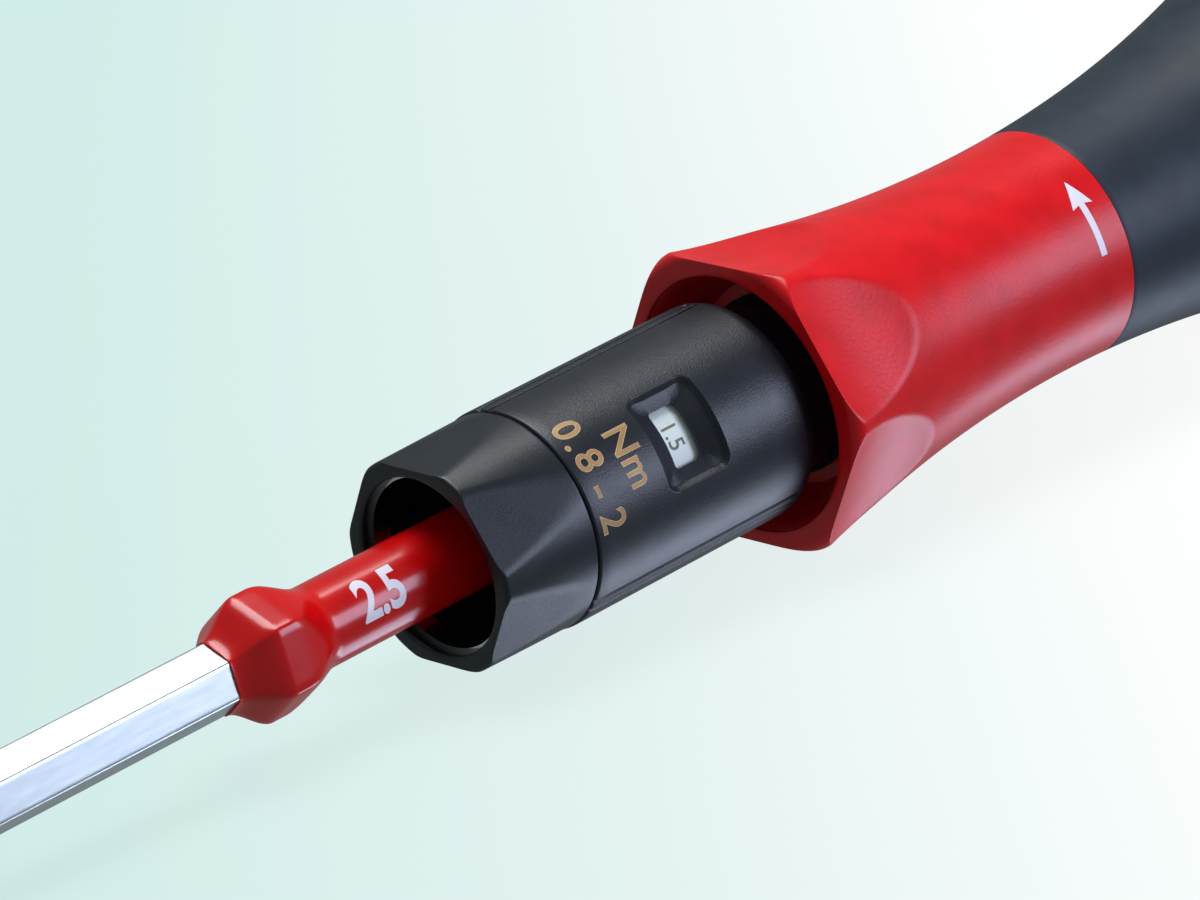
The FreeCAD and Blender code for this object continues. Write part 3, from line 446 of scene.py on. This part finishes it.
def build_nose():
    outline = [(117.5, 6.6), (117.5, 7.75), (RING_SEAM, 7.75)]
    outline += arc(RING_SEAM + 0.22, 8.64, 0.22, 180, 90, 4)
    outline += along((RING_SEAM + 0.35, 8.86), (NOSE - 0.35, 8.74), 60)
    outline += arc(NOSE - 0.35, 8.39, 0.35, 90, 0, 8)
    outline += along((NOSE, 8.3), (NOSE, 7.5), 4) + arc(NOSE - 0.3, 7.5, 0.3, 0, -90, 6)
    outline += [(122.2, 7.2), (122.2, 6.6)]
    ring = lathe("nose_shell", outline, 480, ring_shape)
    dress(ring, "drive", ring_plastic, "nose_ring")


# ---- blade -------------------------------------------------------------------

def eased(x, *knots):
    """Smooth steps between (station, value) knots."""
    result = np.full(np.shape(x), knots[0][1], float)
    for (x0, v0), (x1, v1) in zip(knots, knots[1:]):
        t = np.clip((x - x0) / (x1 - x0), 0, 1)
        result = np.where(x >= x0, v0 + (v1 - v0) * t * t * (3 - 2 * t), result)
    return result


def tube_shape(x, r, turns):
    circle = eased(x, (NOSE + 11.6, 3.29), (NOSE + 16.4, 5.1), (NOSE + 17.6, 5.1),
                   (NOSE + 21.4, 2.95))
    flat = eased(x, (NOSE + 11.6, 3.6), (NOSE + 16.4, 4.45), (NOSE + 17.6, 4.45),
                 (NOSE + 21.4, 2.7))
    hexagon = flat / np.cos(side_angle(turns, BLADE_TURN))
    return np.where(r > 3.0, soft_min(circle, hexagon, 0.3), r)


def build_blade():
    front = NOSE + 21.4
    outline = [(122.5, 2.4), (122.5, 3.2)] + along((122.8, 3.29), (141, 3.29), 30)
    outline += along((141, 3.29), (front, 3.29), 90) + [(front, 3.29), (front, 2.4)]
    tube = lathe("blade_tube", outline, 240, tube_shape)
    dress(tube, "blade", tube_plastic, "blade_grip")

    def shank_shape(x, r, turns):
        flat = np.interp(x, [215.0, 221.0], [2.5, 1.25])
        corner = flat * 2 / math.sqrt(3)
        hexagon = flat / np.cos(side_angle(turns, BLADE_TURN))
        rounded = soft_min(corner * 0.985 + 0 * hexagon, hexagon, 0.06)
        return np.where(r > 1.0, np.minimum(rounded, r), r)

    outline = [(113.2, 0.01), (113.2, 2.5), (113.6, 2.9)] + along((114, 5), (215, 5), 40)
    outline += along((215, 5), (221, 5), 20) + along((221, 5), (242.1, 5), 10)
    outline += [(242.1, 1.45), (242.5, 1.05), (242.5, 0.01)]
    shank = lathe("blade_bar", outline, 180, shank_shape, closed=False)
    dress(shank, "blade", blade_metal, "blade_shank")


# ---- lettering ---------------------------------------------------------------

def flat_text(words, height, squeeze=1.0, weight=0.0, line=0.0):
    """Lettering in the plane, in millimetres, about its middle."""
    curve = bpy.data.curves.new("words", "FONT")
    curve.body = words
    curve.size = height / 0.72
    curve.align_x = "CENTER"
    curve.offset = weight
    curve.resolution_u = 6
    if line:
        curve.fill_mode = "NONE"
        curve.bevel_depth = line
        curve.bevel_resolution = 1
    else:
        curve.fill_mode = "FRONT"
    obj = bpy.data.objects.new("words", curve)
    bpy.context.scene.collection.objects.link(obj)
    mesh = bpy.data.meshes.new_from_object(obj)
    bpy.data.objects.remove(obj)
    mesh.transform(Matrix.Translation((0, -height / 2, 0)))
    mesh.transform(Matrix.Diagonal((squeeze, 1, 1, 1)))
    return mesh


def flat_shape(points):
    work = bmesh.new()
    work.faces.new([work.verts.new((x, y, 0)) for x, y in points])
    mesh = bpy.data.meshes.new("shape")
    work.to_mesh(mesh)
    work.free()
    return mesh


def wrap(mesh, name, body, material, station, turn, radius, upright):
    """Lays flat lettering on the round of the tool, with its middle at station and turn.

    Upright lettering reads round the tool with its tops towards the rear; the rest reads
    along the tool, towards the rear.
    """
    work = bmesh.new()
    work.from_mesh(mesh)
    across = [v.co[0 if upright else 1] for v in work.verts]
    axis = Vector((1, 0, 0)) if upright else Vector((0, 1, 0))
    for cut in np.arange(min(across), max(across), 0.25):
        bmesh.ops.bisect_plane(work, geom=work.verts[:] + work.edges[:] + work.faces[:],
                               plane_co=axis * float(cut), plane_no=axis)
    for vert in work.verts:
        x, y, z = vert.co
        round_way, back = (x, y) if upright else (-y, x)
        rad = radius(station - back) if callable(radius) else radius
        angle = math.radians(turn) + round_way / rad
        vert.co = Vector((station - back, (rad + z) * math.sin(angle),
                          (rad + z) * math.cos(angle))) * MM
    out = bpy.data.meshes.new(name)
    work.to_mesh(out)
    work.free()
    obj = bpy.data.objects.new(name, out)
    bpy.context.scene.collection.objects.link(obj)
    out.shade_smooth()
    return dress(obj, body, material)


def build_lettering():
    for name, words, height, station, turn, squeeze in (
            ("unit_n", "N", 2.5, NOSE - 15.0, 50.9, 0.95), ("unit_m", "m", 2.5, NOSE - 15.1, 67.6, 0.95),
            ("range_nought", "0", 2.5, NOSE - 11.6, 33.5, 0.95),
            ("range_point", ".", 2.5, NOSE - 11.5, 42.6, 0.95),
            ("range_eight", "8", 2.5, NOSE - 11.5, 52.4, 0.95),
            ("range_dash", "-", 2.5, NOSE - 11.2, 67.9, 1.0),
            ("range_two", "2", 2.5, NOSE - 11.3, 83.7, 0.95)):
        fill = flat_text(words, height, squeeze, 0.03)
        wrap(fill, f"{name}_fill", "drive", gold_fill, station, turn, 9.012, True)
        # the lighter rim round each letter is a painted highlight on the lettering's edges
        edge = flat_text(words, height, squeeze, 0.03, 0.03)
        wrap(edge, f"{name}_edge", "drive", gold_edge_highlight, station, turn, 9.0, True)

    wrap(flat_text("2.5", 3.3, 0.8, 0.13), "tube_size", "blade", white_print,
         NOSE + 7.0, 60.4, 3.30, False)

    arrow = flat_shape([(-3.3, -0.32), (1.2, -0.32), (1.0, -1.1), (3.5, 0), (1.0, 1.1),
                        (1.2, 0.32), (-3.3, 0.32)])
    arrow.transform(Matrix.Diagonal((-1, 1, 1, 1)))
    wrap(arrow, "turn_arrow", "handle", white_print, NOSE - 65.65, 60.2,
         lambda x: sweep_rad(x) + 0.012, True)

    for count in range(13):
        mark = flat_text(f"{0.8 + 0.1 * count:.1f}", 1.55, 0.9, 0.01)
        wrap(mark, f"scale_mark_{count}", "spindle", drum_print, WINDOW_AT,
             DRIVE_TURN + 27 * (count - 7), 7.41, True)


build_handle()
build_sleeve()
build_nose()
build_blade()
build_lettering()


# ---- floor, lights and camera ------------------------------------------------

def resting_plane():
    """Height and slope of the floor that the bulge and the collar rest on."""
    def lowest(node, slope):
        points = [v.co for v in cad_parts[node].data.vertices]
        return min(points, key=lambda p: p.z - slope * p.x)
    slope = 0.06
    for _ in range(4):
        rear, front = lowest("grip", slope), lowest("handle_core", slope)
        slope = (front.z - rear.z) / (front.x - rear.x)
    return rear.z - slope * rear.x, slope


def build_floor():
    height, slope = resting_plane()
    mesh = bpy.data.meshes.new("floor")
    far = 3.0
    corners = [(-far, -far), (far, -far), (far, far), (-far, far)]
    mesh.from_pydata([(x, y, height + slope * x) for x, y in corners], [], [(0, 1, 2, 3)])
    floor = bpy.data.objects.new("floor", mesh)
    bpy.context.scene.collection.objects.link(floor)
    m = Nodes("floor")
    separate = m.add("ShaderNodeSeparateXYZ")
    m.join(m.place, separate.inputs["Vector"])
    mapping = m.add("ShaderNodeMapping")
    mapping.inputs["Rotation"].default_value = (0, 0, math.radians(-139))
    mapping.inputs["Location"].default_value = (0.0, 0.0, 0)
    m.join(m.place, mapping.inputs["Vector"])
    split = m.add("ShaderNodeSeparateXYZ")
    m.join(mapping.outputs["Vector"], split.inputs["Vector"])
    fac = m.add("ShaderNodeMapRange")
    fac.inputs["From Min"].default_value = -0.131
    fac.inputs["From Max"].default_value = -0.035
    m.join(split.outputs["X"], fac.inputs["Value"])
    # Painted light: the floor glows, pale teal on one side to white on the other, standing in for the
    # light falling across the backdrop.
    shade = m.ramp(fac.outputs["Result"], (0.0, colour(209, 235, 231)), (0.5, colour(228, 242, 241)),
                   (1.0, colour(254, 255, 254)))
    glow = m.add("ShaderNodeEmission")
    m.join(shade, glow.inputs["Color"])
    m.join(shade, m.shader.inputs["Base Color"])
    m.set(Roughness=0.8, Specular_IOR_Level=0.2)
    seen = m.add("ShaderNodeMixShader")
    seen.inputs["Fac"].default_value = 0.92
    m.join(m.shader.outputs[0], seen.inputs[1])
    m.join(glow.outputs[0], seen.inputs[2])
    clear = m.add("ShaderNodeBsdfTransparent")
    mix = m.add("ShaderNodeMixShader")
    path = m.add("ShaderNodeLightPath")
    m.join(path.outputs["Is Camera Ray"], mix.inputs["Fac"])
    m.join(clear.outputs[0], mix.inputs[1])
    m.join(seen.outputs[0], mix.inputs[2])
    m.join(mix.outputs[0], m.tree.nodes["Material Output"].inputs["Surface"])
    mesh.materials.append(m.material)


def build_world():
    world = bpy.data.worlds.new("studio")
    world.use_nodes = True
    back = world.node_tree.nodes["Background"]
    back.inputs["Color"].default_value = (*colour(226, 240, 240), 1)
    back.inputs["Strength"].default_value = 0.3
    bpy.context.scene.world = world


TARGET = Vector((0.1082, -0.0037, 0.00015))
AZIMUTH, ELEVATION, ROLL = math.radians(49.68), math.radians(21.85), math.radians(9.95)
BACK = Vector((math.cos(ELEVATION) * math.cos(AZIMUTH), math.cos(ELEVATION) * math.sin(AZIMUTH),
               math.sin(ELEVATION)))
LEVEL = Vector((0, 0, 1)).cross(BACK).normalized()
UPRIGHT = BACK.cross(LEVEL)
RIGHT = LEVEL * math.cos(ROLL) - UPRIGHT * math.sin(ROLL)
UP = UPRIGHT * math.cos(ROLL) + LEVEL * math.sin(ROLL)


def build_camera():
    data = bpy.data.cameras.new("camera")
    data.lens = 210
    data.sensor_width = 36
    data.clip_start = 0.01
    camera = bpy.data.objects.new("camera", data)
    spin = Matrix((RIGHT, UP, BACK)).transposed()
    camera.matrix_world = Matrix.Translation(TARGET + BACK * 0.5375) @ spin.to_4x4()
    bpy.context.scene.collection.objects.link(camera)
    bpy.context.scene.camera = camera


def softbox(name, way, distance, width, height, power, tint=(1, 1, 1)):
    """An area light that faces the nose; way is in the camera's own directions."""
    data = bpy.data.lights.new(name, "AREA")
    data.shape = "RECTANGLE"
    data.size, data.size_y = width, height
    data.energy = power
    data.color = tint
    lamp = bpy.data.objects.new(name, data)
    side = (RIGHT * way[0] + UP * way[1] + BACK * way[2]).normalized()
    lamp.location = TARGET + side * distance
    lamp.rotation_euler = side.to_track_quat("Z", "Y").to_euler()
    bpy.context.scene.collection.objects.link(lamp)


def build_lights():
    softbox("key", (-0.1, 1.0, 0.1), 0.6, 0.4, 0.3, 3.6)
    softbox("side", (0.93, 0.25, 0.25), 0.6, 0.3, 0.26, 2.2, (0.68, 0.74, 1.0))
    softbox("under", (0.67, -0.52, -0.53), 0.6, 0.3, 0.2, 1.0, (0.68, 0.76, 1.0))


build_floor()
build_world()
build_camera()
build_lights()
bpy.context.scene.view_settings.view_transform = "Standard"
